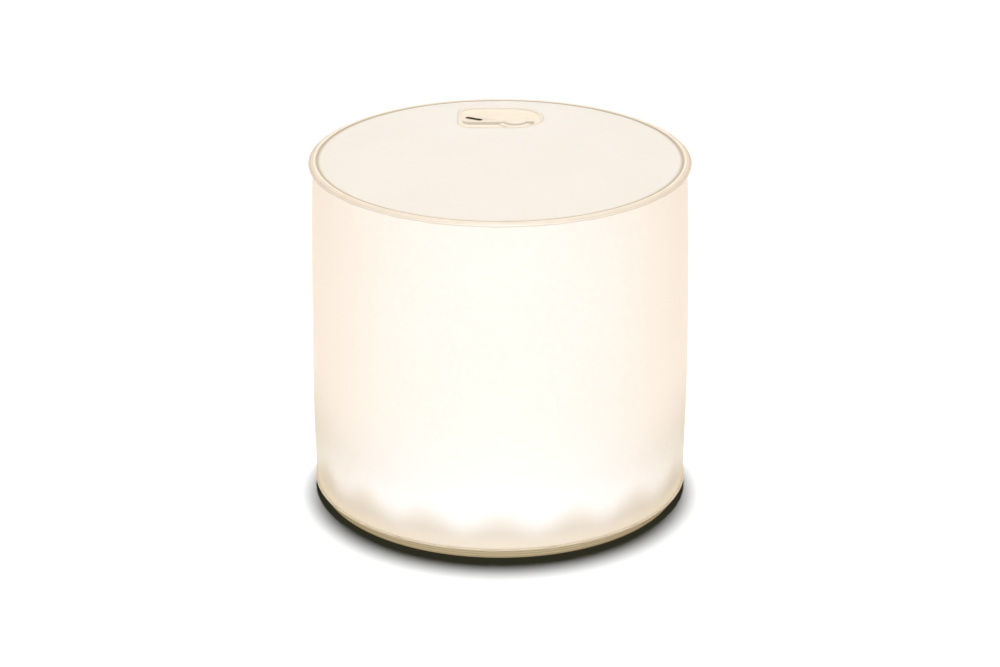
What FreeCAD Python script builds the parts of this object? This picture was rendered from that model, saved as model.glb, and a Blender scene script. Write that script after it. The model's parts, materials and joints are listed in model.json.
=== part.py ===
import FreeCAD, Part
import math
import os

from FreeCAD import Vector

# Blow-up solar lantern. Millimetres, +Z up, origin on the ground under the centre of the foot.
# The front is -Y and the air valve is near the back (+Y) of the top disc.

# Overall sizes
rim_radius = 62.0           # outer edge of both welded rims
body_height = 110.6         # between the two rim planes
foot_depth = 3.9            # bottom rim plane above the ground
film = 0.4                  # thickness of the film
weld = 0.7                  # thickness of the welded rims
weld_width = 2.5            # radial width of the welded rims
barrel_fullness = 0.08      # the blown-up wall at its fullest, outside the rims
foot_pinch = 0.9            # the wall curls in by this much at the bottom rim
foot_curl = 10.0            # how fast that curl fades, per wall height
head_pinch = 0.6            # and at the top rim
head_curl = 11.0
wall_lean = 2.0             # the upper wall leans in
lean_start = 0.35           # from this share of its height
top_crown = 1.8             # rise of the blown-up top disc
rim_droop = 0.6             # fall of the top rim towards its outer edge
seam_width_deg = 6.5        # lap weld at the back of the wall
seam_thickness = 0.3
seam_end_gap = 3.0          # lap weld stops this far from the rims

# Foot housing
dish_gap = 0.3              # clear dish around the housing
housing_wall = 1.8
tray_floor = 1.6
parting_drop = 1.0          # parting line of tray and cover, below the circuit board
lamp_gap = 0.1              # lamps under the cover
cover_plate = 1.2
cover_edge_radius = 1.0
lip_depth = 1.2             # cover lip that reaches down inside the tray wall
lip_thickness = 0.5
lip_gap = 0.15
dish_fillet = 1.2           # outer bottom edge of the clear dish
chamfer_gap = 0.1           # housing's bottom chamfer is wider than the dish's inner corner
reflector_gap = 0.3         # reflector sheet inside the ring of lamp windows
reflector_thickness = 0.2

# Solar panel, facing down
panel_margin = 3.1          # panel's edge inside the screw posts
panel_gap = 0.1
glaze_thickness = 1.2
ribbon_thickness = 0.15
ribbon_width = 1.2
ribbon_spacing = 26.0
cell_count = 6
cell_slit = 0.8
cell_margin = 2.0           # clear border around the cells
backing_overlap = 2.4
backing_thickness = 1.0

# Circuit board and what is on it
board_gap = 0.3             # board edge to the cover lip
board_thickness = 1.2
battery_gap = 0.2           # circuit board above the battery's tape
led_count = 16
lamp_inset = 6.7            # ring of lamps, in from the housing's edge
led_size = 3.0
led_height = 0.7
led_lens_radius = 1.1
led_lens_height = 0.4
window_radius = 2.3
window_gap = 0.1
window_lip = 0.7
window_lip_height = 0.3
window_drop = 1.1
chip_size = 7.0
chip_height = 0.9
chip_place = Vector(14.0, 8.0, 0)
chip_turn = 45.0
inductor_size = 7.0
inductor_height = 3.4
inductor_corner = 1.2
inductor_place = Vector(-8.0, 30.0, 0)
passive_count = 14
passive_radius = 33.0
passive_height = 0.8
passive_short = 2.0
passive_long = 3.2

# Battery
battery_length = 50.0
battery_width = 34.0
battery_height = 5.0
battery_corner = 1.6
foam_thickness = 0.6
foam_margin = 2.0
tape_width = 8.0
tape_thickness = 0.2
tape_margin = 1.0           # from the battery's end
tape_side_margin = 2.0
plug_length = 6.0
plug_width = 5.0
plug_height = 4.0
lead_radius = 0.6
lead_length = 5.5
lead_spacing = 2.4
panel_lead_inset = 6.0      # panel leads, in from the panel's edge

# Buttons and level lights, in a row at the front of the foot's underside
button_row_inset = 8.9      # from the housing's edge
power_angle = 0.0
check_angle = -16.0
power_cap_radius = 4.0
check_cap_radius = 3.2
button_gap = 0.3
button_flange = 1.0
button_flange_height = 0.6
button_stem_radius = 1.5
switch_size = 5.0
switch_height = 3.1
switch_bore_depth = 1.6
plunger_radius = 1.2
plunger_gap = 0.08
plunger_inside = 0.7        # how far the plunger reaches into its switch
plunger_outside = 0.7
pipe_angles = [12.0, 16.5, 21.0]
pipe_radius = 1.0
pipe_gap = 0.1
pipe_flange = 0.5
pipe_flange_height = 0.6
indicator_length = 1.6
indicator_width = 1.0
indicator_height = 0.7

# Housing screws
screw_count = 6
screw_first_angle = 30.0
screw_inset = 11.7          # ring of screws, in from the housing's edge
post_wall = 1.3
screw_head_radius = 2.0
screw_head_height = 1.2
screw_radius = 0.9
screw_gap = 0.2
screw_tip_cover = 0.6       # housing left above the screw's tip
cross_length = 2.4          # cross recess in the head
cross_width = 0.5
cross_depth = 0.6
thread_gap = 0.05

# Air valve, an oblong plate in the top disc
valve_x = 0.2
valve_edge_gap = 9.9        # between the plate and the top disc's fold
plate_length = 28.3
plate_width = 24.0
plate_left_corner = 5.5
plate_right_corner = 10.4
plate_thickness = 0.7
pocket_depth = 0.5          # pocket floor below the film's outer face
bead_width = 0.9
bead_height = 0.1           # bead above the film's outer face
ear_end_gap = 2.05          # stem's ear to the plate's bead, clear of its round end
lip_edge_gap = 0.3          # stem's lip to the bead in front of it
stem_radius = 4.2
stem_gap = 0.08
bore_radius = 2.5
boss_wall = 1.4
boss_height = 1.3
lip_overhang = 1.2
lip_height = 0.5
stem_travel = 5.0
collar_overhang = 1.0
collar_height = 0.8
flap_overlap = 0.9
flap_thickness = 0.4
ear_half_width = 1.6
anchor_length = 0.6         # root of the cap's strap
hinge_gap = 0.4             # cap hinge outside the stem's lip
hinge_height = 0.75
cap_overlap = 1.35
cap_height = 0.8
strap_thickness = 0.5
strap_half_width = 1.5
plug_gap = 0.05
plug_tip_radius = 1.5
plug_depth = 2.6
tab_half_width = 4.2
tab_end_gap = 0.5           # pull tab to the plate's bead
tab_offset = 2.8            # pull tab's middle, behind the stem's
tab_thickness = 0.55
slit_length = 6.4
slit_width = 1.0
slit_turn = -32.0
slit_inset = 3.85           # slit's middle, in from the pull tab's end
slit_offset = -0.6          # slit's middle, from the tab's

# Levels that follow from the sizes above
fold_radius = rim_radius - weld_width
bottom_rim = foot_depth
top_rim = foot_depth + body_height
housing_radius = fold_radius - dish_gap
floor_top = film + tray_floor
cell_thickness = floor_top - film - glaze_thickness - ribbon_thickness
battery_bottom = floor_top + backing_thickness + foam_thickness
battery_top = battery_bottom + battery_height
board_bottom = battery_top + tape_thickness + battery_gap
board_top = board_bottom + board_thickness
tray_wall_top = board_bottom - parting_drop
cover_inside = board_top + led_height + led_lens_height + lamp_gap
cover_top = cover_inside + cover_plate
board_radius = housing_radius - housing_wall - lip_gap - lip_thickness - board_gap
led_radius = housing_radius - lamp_inset
reflector_radius = led_radius - window_radius - window_lip - reflector_gap
button_row_radius = housing_radius - button_row_inset
screw_circle = housing_radius - screw_inset
post_radius = screw_radius + screw_gap + post_wall
panel_radius = screw_circle - post_radius - panel_margin
lip_radius = stem_radius + lip_overhang
boss_radius = stem_radius + boss_wall
collar_radius = stem_radius + collar_overhang
flap_radius = bore_radius + flap_overlap
cap_radius = bore_radius + cap_overlap
hinge_reach = lip_radius + hinge_gap
ear_reach = hinge_reach + anchor_length
stem_x = plate_length / 2 - bead_width - ear_end_gap - ear_reach
stem_y = -(plate_width / 2 - bead_width - lip_edge_gap - lip_radius)
tab_y = stem_y + tab_offset
tab_reach = stem_x + plate_length / 2 - bead_width - tab_end_gap
slit_x = stem_x - tab_reach + slit_inset
slit_y = tab_y + slit_offset
valve_y = fold_radius - valve_edge_gap - plate_width / 2
valve_tilt = math.degrees(math.atan(2.0 * top_crown * valve_y / fold_radius ** 2))


def around(radius, degrees):
    """Plan position at an angle from the front, turning towards +X."""
    turn = math.radians(degrees)
    return Vector(radius * math.sin(turn), -radius * math.cos(turn), 0)


def rod(radius, low, high, centre=None):
    centre = centre or Vector(0, 0, 0)
    return Part.makeCylinder(radius, high - low, Vector(centre.x, centre.y, low))


def tube(outer, inner, low, high, centre=None):
    return rod(outer, low, high, centre).cut(rod(inner, low, high, centre))


def block(length, width, low, high, centre=None, turn=0.0):
    centre = centre or Vector(0, 0, 0)
    solid = Part.makeBox(length, width, high - low, Vector(-length / 2, -width / 2, low))
    solid.rotate(Vector(0, 0, 0), Vector(0, 0, 1), turn)
    solid.translate(centre)
    return solid


def upright_edges(solid):
    return [e for e in solid.Edges if e.BoundBox.XLength < 0.01 and e.BoundBox.YLength < 0.01]


def turned(profile_edges, degrees=360.0, start=0.0):
    face = Part.Face(Part.Wire(Part.__sortEdges__(profile_edges)))
    solid = face.revolve(Vector(0, 0, 0), Vector(0, 0, 1), degrees)
    solid.rotate(Vector(0, 0, 0), Vector(0, 0, 1), start)
    return solid


def polygon(points):
    corners = [Vector(r, 0, z) for r, z in points]
    return [Part.makeLine(a, b) for a, b in zip(corners, corners[1:] + corners[:1])]


def write(name, shape):
    shape.exportStep("parts/" + name + ".step")


# ---- blown-up body ----

def wall_radius_at(share):
    """Outer radius of the blown-up wall; share runs from 0 at the bottom rim to 1 at the top rim."""
    foot = foot_pinch * math.exp(-share * foot_curl)
    head = head_pinch * math.exp(-(1.0 - share) * head_curl)
    lean = wall_lean * max(0.0, share - lean_start) ** 1.5
    return rim_radius + barrel_fullness - lean - foot - head


def wall_section(inner_offset, outer_offset, low, high):
    """Closed section that follows the wall between two heights."""
    low_z = bottom_rim + weld / 2
    span = top_rim - weld / 2 - low_z
    steps = 24
    outer = []
    inner = []
    for i in range(steps + 1):
        z = low + (high - low) * i / steps
        radius = wall_radius_at((z - low_z) / span)
        outer.append(Vector(radius + outer_offset, 0, z))
        inner.append(Vector(radius + inner_offset, 0, z))
    edges = []
    for points in (outer, inner):
        curve = Part.BSplineCurve()
        curve.interpolate(points)
        edges.append(curve.toShape())
    edges.append(Part.makeLine(outer[0], inner[0]))
    edges.append(Part.makeLine(outer[-1], inner[-1]))
    return edges


def make_wall():
    low = bottom_rim + weld / 2
    high = top_rim - weld / 2
    write("wall_film", turned(wall_section(-film, 0.0, low, high)))
    seam = wall_section(0.0, seam_thickness, low + seam_end_gap, high - seam_end_gap)
    write("wall_seam", turned(seam, seam_width_deg, 90.0 - seam_width_deg / 2))


def make_rims():
    under = top_rim - weld / 2
    over = top_rim + weld / 2
    mid = rim_radius - weld_width / 3
    top = [(fold_radius, under), (mid, under), (rim_radius, under - rim_droop / 3),
           (rim_radius, over - rim_droop), (mid, over), (fold_radius, over + rim_droop / 2)]
    write("top_weld_ring", turned(polygon(top)))
    low = bottom_rim - weld / 2
    high = bottom_rim + weld / 2
    bevel = weld / 5
    bottom = [(fold_radius, low), (rim_radius - bevel, low), (rim_radius, low + bevel),
              (rim_radius, high - bevel), (rim_radius - bevel, high), (fold_radius, high)]
    write("bottom_weld_ring", turned(polygon(bottom)))


def dome_height(radius):
    edge = top_rim + weld / 2
    return edge + top_crown * (1.0 - (radius / fold_radius) ** 2)


def make_top_film(valve_hole):
    edges = []
    for drop in (0.0, film):
        points = [Vector(r, 0, dome_height(r) - drop) for r in (0, fold_radius / 2, fold_radius)]
        edges.append(Part.Arc(*points).toShape())
    for r in (0, fold_radius):
        edges.append(Part.makeLine(Vector(r, 0, dome_height(r)), Vector(r, 0, dome_height(r) - film)))
    write("top_film", turned(edges).cut(valve_hole))


def make_base_film():
    high = bottom_rim - weld / 2
    outside = rod(fold_radius + film, 0, high)
    outside = outside.makeFillet(dish_fillet, [e for e in outside.Edges if e.BoundBox.ZMax < film / 2])
    inside = rod(fold_radius, film, high)
    inside = inside.makeFillet(dish_fillet - film, [e for e in inside.Edges if e.BoundBox.ZMax < film * 1.5])
    write("base_window_film", outside.cut(inside))


# ---- foot housing ----

def screw_places():
    return [around(screw_circle, screw_first_angle + 360.0 / screw_count * i) for i in range(screw_count)]


def led_places():
    pitch = 360.0 / led_count
    return [(around(led_radius, pitch * (i + 0.5)), -90.0 + pitch * (i + 0.5)) for i in range(led_count)]


def make_tray():
    inner = housing_radius - housing_wall
    chamfer = dish_fillet - film + chamfer_gap
    section = [(panel_radius + panel_gap, film), (housing_radius - chamfer, film),
               (housing_radius, film + chamfer), (housing_radius, tray_wall_top), (inner, tray_wall_top),
               (inner, floor_top), (panel_radius + panel_gap, floor_top)]
    tray = turned(polygon(section))
    for place in screw_places():
        tray = tray.fuse(rod(post_radius, floor_top, board_bottom, place))
    for place in screw_places():
        tray = tray.cut(rod(screw_radius + screw_gap, film, board_bottom, place))
        tray = tray.cut(rod(screw_head_radius + screw_gap, film, floor_top, place))
    for angle, radius in ((power_angle, power_cap_radius), (check_angle, check_cap_radius)):
        tray = tray.cut(rod(radius + button_gap, film, floor_top, around(button_row_radius, angle)))
    for angle in pipe_angles:
        tray = tray.cut(rod(pipe_radius + pipe_gap, film, floor_top, around(button_row_radius, angle)))
    write("base_tray", tray.removeSplitter())


def make_cover():
    body = rod(housing_radius, tray_wall_top, cover_top)
    body = body.makeFillet(cover_edge_radius, [e for e in body.Edges if e.BoundBox.ZMin > cover_top - 0.1])
    body = body.cut(rod(housing_radius - housing_wall, tray_wall_top, cover_inside))
    lip_outer = housing_radius - housing_wall - lip_gap
    lip = tube(lip_outer, lip_outer - lip_thickness, tray_wall_top - lip_depth, cover_inside)
    bridge = tube(housing_radius - housing_wall, lip_outer - lip_thickness, board_top, cover_inside)
    body = body.fuse(lip).fuse(bridge)
    for place in screw_places():
        body = body.fuse(rod(post_radius, board_top, cover_inside, place))
    for place in screw_places():
        body = body.cut(rod(screw_radius + thread_gap, board_top, cover_top - screw_tip_cover / 2, place))
    for place, turn in led_places():
        body = body.cut(rod(window_radius + window_gap, cover_inside, cover_top, place))
    write("base_cover", body.removeSplitter())


def make_screws():
    screws = []
    for place in screw_places():
        head = rod(screw_head_radius, floor_top - screw_head_height, floor_top, place)
        shank = rod(screw_radius, floor_top, cover_top - screw_tip_cover, place)
        screw = head.fuse(shank)
        low = floor_top - screw_head_height
        for turn in (0.0, 90.0):
            screw = screw.cut(block(cross_length, cross_width, low, low + cross_depth, place, turn))
        screws.append(screw)
    write("housing_screws", Part.makeCompound(screws))


def make_reflector():
    write("reflector_sheet", rod(reflector_radius, cover_top, cover_top + reflector_thickness))


def make_lamp_windows():
    windows = []
    for place, turn in led_places():
        plug = rod(window_radius, cover_top - window_drop, cover_top, place)
        rim = rod(window_radius + window_lip, cover_top, cover_top + window_lip_height, place)
        windows.append(plug.fuse(rim))
    write("led_windows", Part.makeCompound(windows))


# ---- solar panel ----

def make_panel():
    glaze_top = film + glaze_thickness
    ribbon_top = glaze_top + ribbon_thickness
    write("solar_glaze", rod(panel_radius, film, glaze_top))
    cell_circle = panel_radius - cell_margin
    ribbons = []
    half = math.sqrt(cell_circle ** 2 - (ribbon_spacing / 2) ** 2)
    for side in (-1, 1):
        place = Vector(0, side * ribbon_spacing / 2, 0)
        ribbons.append(block(2 * half, ribbon_width, glaze_top, ribbon_top, place))
    write("cell_ribbons", Part.makeCompound(ribbons))
    pitch = 2 * cell_circle / cell_count
    cells = []
    for i in range(cell_count):
        place = Vector((i + 0.5) * pitch - cell_circle, 0, 0)
        strip = block(pitch - cell_slit, 2 * cell_circle, ribbon_top, ribbon_top + cell_thickness, place)
        cells.append(strip.common(rod(cell_circle, ribbon_top, ribbon_top + cell_thickness)))
    write("solar_cells", Part.makeCompound(cells))
    write("solar_backing", rod(panel_radius + backing_overlap, floor_top, floor_top + backing_thickness))
    leads = []
    for side in (-1, 1):
        place = Vector(panel_lead_inset - panel_radius, side * lead_spacing, 0)
        leads.append(rod(lead_radius, floor_top + backing_thickness, board_bottom, place))
    write("panel_leads", Part.makeCompound(leads))


# ---- battery ----

def make_battery():
    pad_length = battery_length - 2 * foam_margin
    pad_width = battery_width - 2 * foam_margin
    write("foam_pad", block(pad_length, pad_width, battery_bottom - foam_thickness, battery_bottom))
    cell = block(battery_length, battery_width, battery_bottom, battery_top)
    cell = cell.makeFillet(battery_corner, upright_edges(cell))
    write("battery_cell", cell)
    tape_place = Vector(battery_length / 2 - tape_width / 2 - tape_margin, 0, 0)
    tape_length = battery_width - 2 * tape_side_margin
    tape = block(tape_width, tape_length, battery_top, battery_top + tape_thickness, tape_place)
    write("battery_tape", tape)
    plug_x = battery_length / 2 + lead_length + plug_length / 2
    plug = block(plug_length, plug_width, board_bottom - plug_height, board_bottom, Vector(plug_x, 0, 0))
    write("battery_connector", plug)
    leads = []
    for side in (-1, 1):
        start = Vector(battery_length / 2, side * lead_spacing / 2, board_bottom - plug_height / 2)
        leads.append(Part.makeCylinder(lead_radius, lead_length, start, Vector(1, 0, 0)))
    write("battery_leads", Part.makeCompound(leads))


# ---- circuit board ----

def make_board():
    board = rod(board_radius, board_bottom, board_top)
    for place in screw_places():
        board = board.cut(rod(screw_radius + screw_gap, board_bottom, board_top, place))
    write("circuit_board", board)
    chip = block(chip_size, chip_size, board_top, board_top + chip_height, chip_place, chip_turn)
    write("control_chip", chip)
    coil_low = board_bottom - inductor_height
    coil = block(inductor_size, inductor_size, coil_low, board_bottom, inductor_place)
    coil = coil.makeFillet(inductor_corner, upright_edges(coil))
    write("power_inductor", coil)
    parts = []
    for i in range(passive_count):
        angle = 360.0 / passive_count * i
        size = passive_short if i % 3 else passive_long
        place = around(passive_radius, angle)
        parts.append(block(size, size / 2, board_top, board_top + passive_height, place, angle))
    write("chip_components", Part.makeCompound(parts))
    lamps = []
    for place, turn in led_places():
        body_top = board_top + led_height
        lamp = block(led_size, led_size, board_top, body_top, place, turn)
        lamp = lamp.fuse(rod(led_lens_radius, body_top, body_top + led_lens_height, place))
        lamps.append(lamp)
    write("white_leds", Part.makeCompound(lamps))


def make_buttons():
    switch_bottom = board_bottom - switch_height
    plunger_low = switch_bottom - plunger_outside
    switches = []
    for name, angle, radius in (("power", power_angle, power_cap_radius),
                                ("check", check_angle, check_cap_radius)):
        place = around(button_row_radius, angle)
        switch = block(switch_size, switch_size, switch_bottom, board_bottom, place, angle)
        hole = rod(plunger_radius + plunger_gap, switch_bottom, switch_bottom + switch_bore_depth, place)
        switches.append(switch.cut(hole))
        write(name + "_plunger", rod(plunger_radius, plunger_low, switch_bottom + plunger_inside, place))
        cap = rod(radius, film, floor_top, place)
        cap = cap.fuse(rod(radius + button_flange, floor_top, floor_top + button_flange_height, place))
        cap = cap.fuse(rod(button_stem_radius, floor_top + button_flange_height, plunger_low, place))
        write(name + "_button", cap)
    write("tact_switches", Part.makeCompound(switches))


def make_level_lights():
    pipes = []
    lamps = []
    lamp_low = board_bottom - indicator_height
    for angle in pipe_angles:
        place = around(button_row_radius, angle)
        pipe = rod(pipe_radius, film, lamp_low, place)
        flange = rod(pipe_radius + pipe_flange, floor_top, floor_top + pipe_flange_height, place)
        pipes.append(pipe.fuse(flange))
        lamps.append(block(indicator_length, indicator_width, lamp_low, board_bottom, place, angle))
    write("light_pipes", Part.makeCompound(pipes))
    write("indicator_leds", Part.makeCompound(lamps))


# ---- air valve, built flat about the plate's centre and then laid on the top disc ----

def lay_on_disc(shape):
    centre = Vector(valve_x, valve_y, dome_height(math.hypot(valve_x, valve_y)))
    shape.translate(centre)
    shape.rotate(centre, Vector(1, 0, 0), -valve_tilt)
    return shape


def oblong(inset, low, high):
    """Plate outline with squarer corners at the left and rounder ones at the right."""
    half_x = plate_length / 2 - inset
    half_y = plate_width / 2 - inset
    solid = block(2 * half_x, 2 * half_y, low, high)
    left = [e for e in upright_edges(solid) if e.BoundBox.XMax < 0]
    solid = solid.makeFillet(plate_left_corner - inset / 2, left)
    right = [e for e in upright_edges(solid) if e.BoundBox.XMin > half_x - 0.01]
    return solid.makeFillet(plate_right_corner - inset, right)


def make_valve():
    pocket = -pocket_depth
    plate_low = pocket - plate_thickness
    boss_low = plate_low - boss_height
    stem = Vector(stem_x, stem_y, 0)
    plate = oblong(0.0, plate_low, bead_height).cut(oblong(bead_width, pocket, bead_height))
    plate = plate.fuse(rod(boss_radius, boss_low, plate_low, stem))
    plate = plate.cut(rod(stem_radius + stem_gap, boss_low, pocket, stem))
    write("valve_flange", lay_on_disc(plate))

    lip_top = pocket + lip_height
    collar_top = boss_low - stem_travel
    stem_low = collar_top - collar_height
    hinge_x = stem_x + hinge_reach
    pull_stem = rod(stem_radius, stem_low, pocket, stem)
    pull_stem = pull_stem.fuse(rod(lip_radius, pocket, lip_top, stem))
    pull_stem = pull_stem.fuse(rod(collar_radius, stem_low, collar_top, stem))
    ear = block(ear_reach, 2 * ear_half_width, pocket, lip_top, Vector(stem_x + ear_reach / 2, stem_y, 0))
    anchor_place = Vector(hinge_x + anchor_length / 2, stem_y, 0)
    anchor = block(anchor_length, 2 * strap_half_width, lip_top, hinge_height, anchor_place)
    pull_stem = pull_stem.fuse(ear).fuse(anchor).cut(rod(bore_radius, stem_low, lip_top, stem))
    write("valve_stem", lay_on_disc(pull_stem))
    write("check_flap", lay_on_disc(rod(flap_radius, stem_low - flap_thickness, stem_low, stem)))

    cap = rod(cap_radius, lip_top, lip_top + cap_height, stem)
    plug = Part.makeCone(plug_tip_radius, bore_radius - plug_gap, plug_depth,
                         Vector(stem_x, stem_y, lip_top - plug_depth))
    strap = block(hinge_reach, 2 * strap_half_width, hinge_height - strap_thickness, hinge_height,
                  Vector(stem_x + hinge_reach / 2, stem_y, 0))
    tab = block(tab_reach, 2 * tab_half_width, lip_top, lip_top + tab_thickness,
                Vector(stem_x - tab_reach / 2, tab_y, 0))
    tab = tab.makeFillet(tab_half_width * 0.7, upright_edges(tab))
    slit_place = Vector(slit_x, slit_y, 0)
    slit = block(slit_length, slit_width, lip_top, lip_top + tab_thickness, slit_place, slit_turn)
    cap = cap.fuse(plug).fuse(strap).fuse(tab).cut(slit)
    write("valve_cap", lay_on_disc(cap))


os.makedirs("parts", exist_ok=True)
make_wall()
make_rims()
make_top_film(lay_on_disc(oblong(0.0, -plate_width, plate_width)))
make_base_film()
make_tray()
make_cover()
make_screws()
make_reflector()
make_lamp_windows()
make_panel()
make_battery()
make_board()
make_buttons()
make_level_lights()
make_valve()
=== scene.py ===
import json
import math

import bmesh
import bpy
import numpy as np
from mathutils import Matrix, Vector

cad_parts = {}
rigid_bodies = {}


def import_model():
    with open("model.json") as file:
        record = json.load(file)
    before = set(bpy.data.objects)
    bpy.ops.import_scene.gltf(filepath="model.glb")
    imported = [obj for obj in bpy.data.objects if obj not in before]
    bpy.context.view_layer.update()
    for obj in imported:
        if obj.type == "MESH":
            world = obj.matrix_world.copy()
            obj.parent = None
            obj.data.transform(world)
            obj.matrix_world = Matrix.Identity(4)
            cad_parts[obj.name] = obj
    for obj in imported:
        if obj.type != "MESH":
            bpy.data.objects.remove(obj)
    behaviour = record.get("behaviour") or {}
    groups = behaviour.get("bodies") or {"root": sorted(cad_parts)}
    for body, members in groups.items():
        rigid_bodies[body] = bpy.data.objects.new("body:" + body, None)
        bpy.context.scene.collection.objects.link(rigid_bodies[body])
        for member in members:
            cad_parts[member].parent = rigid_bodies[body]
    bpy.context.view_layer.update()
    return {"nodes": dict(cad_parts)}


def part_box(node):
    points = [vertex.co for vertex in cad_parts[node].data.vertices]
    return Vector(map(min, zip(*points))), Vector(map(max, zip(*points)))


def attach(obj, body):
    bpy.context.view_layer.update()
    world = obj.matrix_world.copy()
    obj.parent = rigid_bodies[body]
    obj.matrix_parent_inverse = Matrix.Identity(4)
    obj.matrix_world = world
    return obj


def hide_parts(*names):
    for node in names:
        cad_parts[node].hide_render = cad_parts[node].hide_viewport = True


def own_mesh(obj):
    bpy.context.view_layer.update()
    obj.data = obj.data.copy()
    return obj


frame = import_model()


# ---- side wall ----
# One sheet of frosted film, about 0.4 mm thick, rolled into a tube and blown up to a slight barrel.
# It is welded to the top disc and to the foot, and the heat of the welds puckers it near both rims.

def revolve(name, section, steps, unevenness=None, start=0.0, sweep=2 * math.pi):
    """Turns a closed section of (radius, height) in metres about Z. Angles run from the front towards +X."""
    whole = sweep > 2 * math.pi - 1e-6
    columns = steps if whole else steps + 1
    points = []
    for i in range(columns):
        angle = start + sweep * i / steps
        for radius, height in section:
            out, up = unevenness(angle, radius, height) if unevenness else (0.0, 0.0)
            out = out if radius > 1e-6 else 0.0
            points.append(((radius + out) * math.sin(angle), -(radius + out) * math.cos(angle), height + up))
    n = len(section)
    faces = []
    for i in range(steps):
        a = i * n
        b = ((i + 1) % columns) * n
        for j in range(n):
            k = (j + 1) % n
            faces.append((a + j, b + j, b + k, a + k))
    if not whole:
        faces.append(tuple(range(n)))
        faces.append(tuple(range(steps * n + n - 1, steps * n - 1, -1)))
    return mesh_piece(name, points, faces)


def mesh_piece(name, points, faces, crease=35.0):
    mesh = bpy.data.meshes.new(name)
    mesh.from_pydata(points, [], faces)
    work = bmesh.new()
    work.from_mesh(mesh)
    bmesh.ops.remove_doubles(work, verts=work.verts, dist=1e-6)
    bmesh.ops.recalc_face_normals(work, faces=work.faces)
    work.to_mesh(mesh)
    work.free()
    mesh.polygons.foreach_set("use_smooth", [True] * len(mesh.polygons))
    mesh.set_sharp_from_angle(angle=math.radians(crease))
    piece = bpy.data.objects.new(name, mesh)
    bpy.context.scene.collection.objects.link(piece)
    return piece


def add(tree, kind, sockets=None, **settings):
    made = tree.nodes.new(kind)
    for key, value in settings.items():
        setattr(made, key, value)
    for key, value in (sockets or {}).items():
        if isinstance(value, bpy.types.NodeSocket):
            tree.links.new(value, made.inputs[key])
        else:
            made.inputs[key].default_value = value
    return made


def new_finish(name):
    """An empty material, its node tree, and the places on the piece that its patterns are laid by."""
    finish = bpy.data.materials.new(name)
    finish.use_nodes = True
    finish.cycles.emission_sampling = "NONE"
    finish.node_tree.nodes.clear()
    where = add(finish.node_tree, "ShaderNodeTexCoord").outputs["Object"]
    return finish, finish.node_tree, where


def surface(tree, sockets):
    """Closes a material with one Principled shader."""
    shader = add(tree, "ShaderNodeBsdfPrincipled", sockets)
    add(tree, "ShaderNodeOutputMaterial", {"Surface": shader.outputs["BSDF"]})


def bumped(tree, height, strength, depth):
    sockets = {"Strength": strength, "Distance": depth, "Height": height}
    return add(tree, "ShaderNodeBump", sockets).outputs["Normal"]


def maths(tree, operation, *values):
    return add(tree, "ShaderNodeMath", dict(enumerate(values)), operation=operation).outputs[0]


def ramp(tree, value, low, high, bottom=0.0, top=1.0, smooth=True):
    kind = "SMOOTHSTEP" if smooth else "LINEAR"
    sockets = {"Value": value, "From Min": low, "From Max": high, "To Min": bottom, "To Max": top}
    return add(tree, "ShaderNodeMapRange", sockets, interpolation_type=kind).outputs["Result"]


def blend_colour(tree, amount, first, second):
    made = add(tree, "ShaderNodeMix", data_type="RGBA")
    for index, value in ((0, amount), (6, first), (7, second)):
        if isinstance(value, bpy.types.NodeSocket):
            tree.links.new(value, made.inputs[index])
        else:
            made.inputs[index].default_value = value
    return made.outputs[2]


def noise(tree, where, size, detail=3.0, roughness=0.5):
    """Noise whose features are about the given size in metres."""
    sockets = {"Vector": where, "Scale": 1.0 / size, "Detail": detail, "Roughness": roughness}
    return add(tree, "ShaderNodeTexNoise", sockets).outputs["Fac"]


foot_weld_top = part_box("bottom_weld_ring")[1].z
head_weld_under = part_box("wall_film")[1].z
rim_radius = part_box("bottom_weld_ring")[1].x
film = 0.0004
wall_fullness = 0.00008
foot_pinch = 0.0009
foot_curl = 10.0
head_pinch = 0.0006
head_curl = 11.0
wall_lean = 0.0020
lean_start = 0.35
pucker_depth = 0.00016
pucker_reach = 0.009
lamp_count = 16


def wall_radius(height):
    share = (height - foot_weld_top) / (head_weld_under - foot_weld_top)
    foot = foot_pinch * math.exp(-share * foot_curl)
    head = head_pinch * math.exp(-(1.0 - share) * head_curl)
    lean = wall_lean * max(0.0, share - lean_start) ** 1.5
    return rim_radius + wall_fullness - lean - foot - head


def wrinkle(angle, seed):
    """Sum of a few ripples that never quite repeat, between about -1 and 1."""
    total = 0.0
    for count, share in ((23, 0.34), (37, 0.28), (61, 0.22), (89, 0.16)):
        total += share * math.sin(count * angle + seed * count * 0.61)
    return total


def wall_unevenness(angle, radius, height):
    from_foot = height - foot_weld_top
    from_head = head_weld_under - height
    pucker = wrinkle(angle, 1.0) * math.exp(-from_foot / pucker_reach)
    pucker += wrinkle(angle, 2.3) * math.exp(-from_head / pucker_reach)
    settle = 1.0 - math.exp(-min(from_foot, from_head) / 0.0012)
    sway = 0.00010 * math.sin(3 * angle + height * 40) + 0.00006 * math.sin(7 * angle - height * 65)
    return pucker_depth * pucker * settle + sway * min(1.0, min(from_foot, from_head) / 0.02), 0.0


wall_levels = []
for i in range(97):
    ease = 0.5 - 0.5 * math.cos(math.pi * i / 96)
    share = 0.45 * i / 96 + 0.55 * ease
    wall_levels.append(foot_weld_top + (head_weld_under - foot_weld_top) * share)
wall_section = [(wall_radius(z), z) for z in wall_levels]
wall_section += [(wall_radius(z) - film, z) for z in reversed(wall_levels)]
side_wall = revolve("side_wall", wall_section, 320, wall_unevenness)


def film_shader(tree, colour, roughness, normal, glow):
    """Soft satin film with a painted glow that stands in for the light of the lamps inside."""
    surface(tree, {"Base Color": colour, "Roughness": roughness, "Specular IOR Level": 0.25, "Normal": normal,
                   "Emission Color": glow, "Emission Strength": 1.0})


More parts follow.
